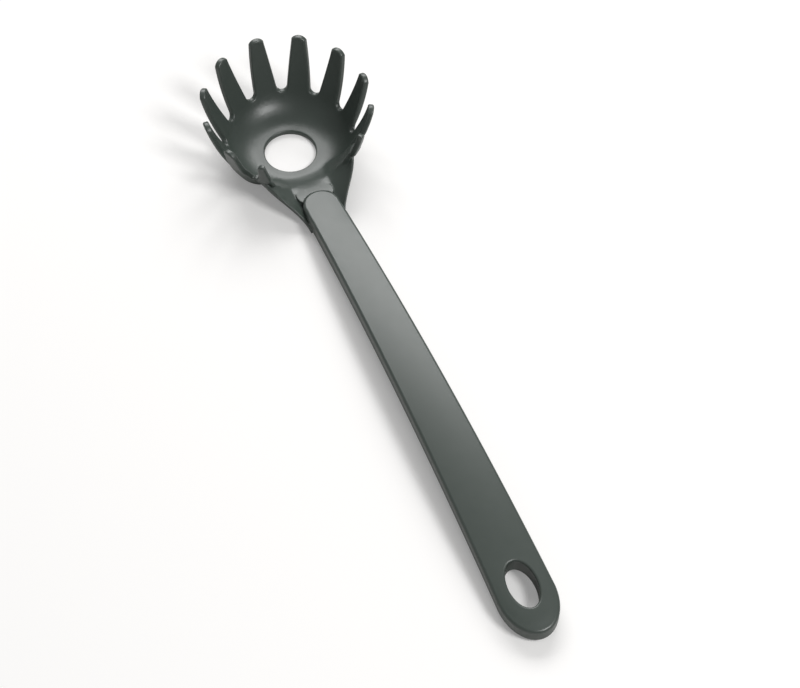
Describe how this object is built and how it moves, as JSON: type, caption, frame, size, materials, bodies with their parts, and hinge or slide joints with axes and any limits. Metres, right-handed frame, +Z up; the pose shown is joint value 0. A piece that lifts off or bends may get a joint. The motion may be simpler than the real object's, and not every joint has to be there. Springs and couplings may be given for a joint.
{
  "type": "pasta server",
  "caption": "Nylon pasta server: a round bowl of upright fingers with a drain hole, and a long arched handle with an oval hang hole.",
  "frame": {"origin": "centre of the drain hole, on the plane of the flat ring that the bowl stands on", "axes": "+X from the bowl along the handle to the hang hole, +Y to the left of the handle, +Z up out of the bowl"},
  "size_m": [0.3016, 0.079, 0.0368],
  "materials": {
    "head_nylon": "matte, fine even grain",
    "base_nylon": "matte, fine even grain",
    "cover_nylon": "matte, fine even grain"
  },
  "bodies": {
    "root": {"serving_head": "head_nylon", "handle_base": "base_nylon", "handle_cover": "cover_nylon"}
  },
  "joints": []
}
